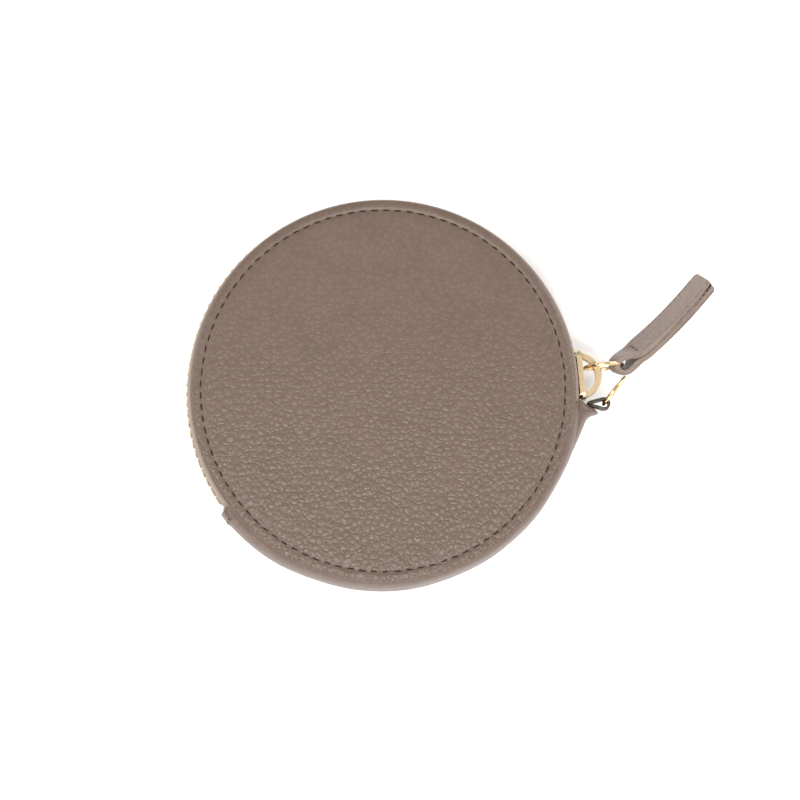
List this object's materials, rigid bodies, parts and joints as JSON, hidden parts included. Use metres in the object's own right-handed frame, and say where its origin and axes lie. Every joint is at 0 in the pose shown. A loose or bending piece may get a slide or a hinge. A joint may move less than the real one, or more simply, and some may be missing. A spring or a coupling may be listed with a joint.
{
  "type": "coin purse",
  "caption": "Round leather coin purse with a curved metal zip round the rim, a folded leather zip puller and a small side ring.",
  "frame": {"origin": "centre of the back panel's outer face", "axes": "+Z out of the front panel, +Y towards the top of the purse, +X towards the closed end of the zip, where the puller and the side ring are"},
  "size_m": [0.1377, 0.1026, 0.022],
  "materials": {
    "taupe_leather": "satin",
    "lining_cloth": "matte",
    "zip_tape": "matte",
    "stiffener": "matte",
    "gold_metal": "satin"
  },
  "bodies": {
    "shell": {"back_panel": "taupe_leather", "back_board": "stiffener", "back_lining": "lining_cloth", "front_panel_base": "taupe_leather", "front_board_base": "stiffener", "front_lining_base": "lining_cloth", "front_fold_band": "taupe_leather", "back_zip_tape": "zip_tape", "front_tape_right": "zip_tape", "front_tape_left": "zip_tape", "tape_fold_right": "zip_tape", "tape_fold_left": "zip_tape", "back_teeth": "gold_metal", "front_teeth_ends": "gold_metal", "top_stop": "gold_metal", "bottom_stop": "gold_metal", "lower_gusset": "taupe_leather", "gusset_lining": "lining_cloth", "right_end_tab": "taupe_leather", "left_end_tab": "taupe_leather", "side_loop": "taupe_leather"},
    "front_flap": {"front_panel_flap": "taupe_leather", "front_board_flap": "stiffener", "front_lining_flap": "lining_cloth", "front_zip_tape": "zip_tape", "front_teeth": "gold_metal"},
    "slider": {"slider_outer_plate": "gold_metal", "slider_inner_plate": "gold_metal", "slider_crown": "gold_metal"},
    "pull_ring": {"pull_ring": "gold_metal"},
    "puller": {"puller_strap": "taupe_leather"},
    "side_ring": {"side_ring": "gold_metal"}
  },
  "joints": [
    {"name": "front_lift", "type": "hinge", "parent": "shell", "child": "front_flap", "pos_m": [0.00077, -0.00253, 0.011], "axis": [0.9563, 0.2924, 0], "range_deg": [0, 20], "deforming": ["front_fold_band", "tape_fold_right", "tape_fold_left"]},
    {"name": "slider_run", "type": "hinge", "parent": "shell", "child": "slider", "pos_m": [0, 0, 0.011], "axis": [0, 0, 1], "range_deg": [0, 202.5]},
    {"name": "pull_ring_swing", "type": "hinge", "parent": "slider", "child": "pull_ring", "pos_m": [0.05779, 0.00757, 0.011], "axis": [-0.0958, 0.9954, 0], "range_deg": [-60, 60]},
    {"name": "puller_swing", "type": "hinge", "parent": "pull_ring", "child": "puller", "pos_m": [0.06267, 0.00804, 0.011], "axis": [0, 0, 1], "range_deg": [-20, 75]},
    {"name": "side_ring_swing", "type": "hinge", "parent": "shell", "child": "side_ring", "pos_m": [0.05773, -0.00244, 0.011], "axis": [0, 0, 1], "range_deg": [-65, 0]}
  ]
}
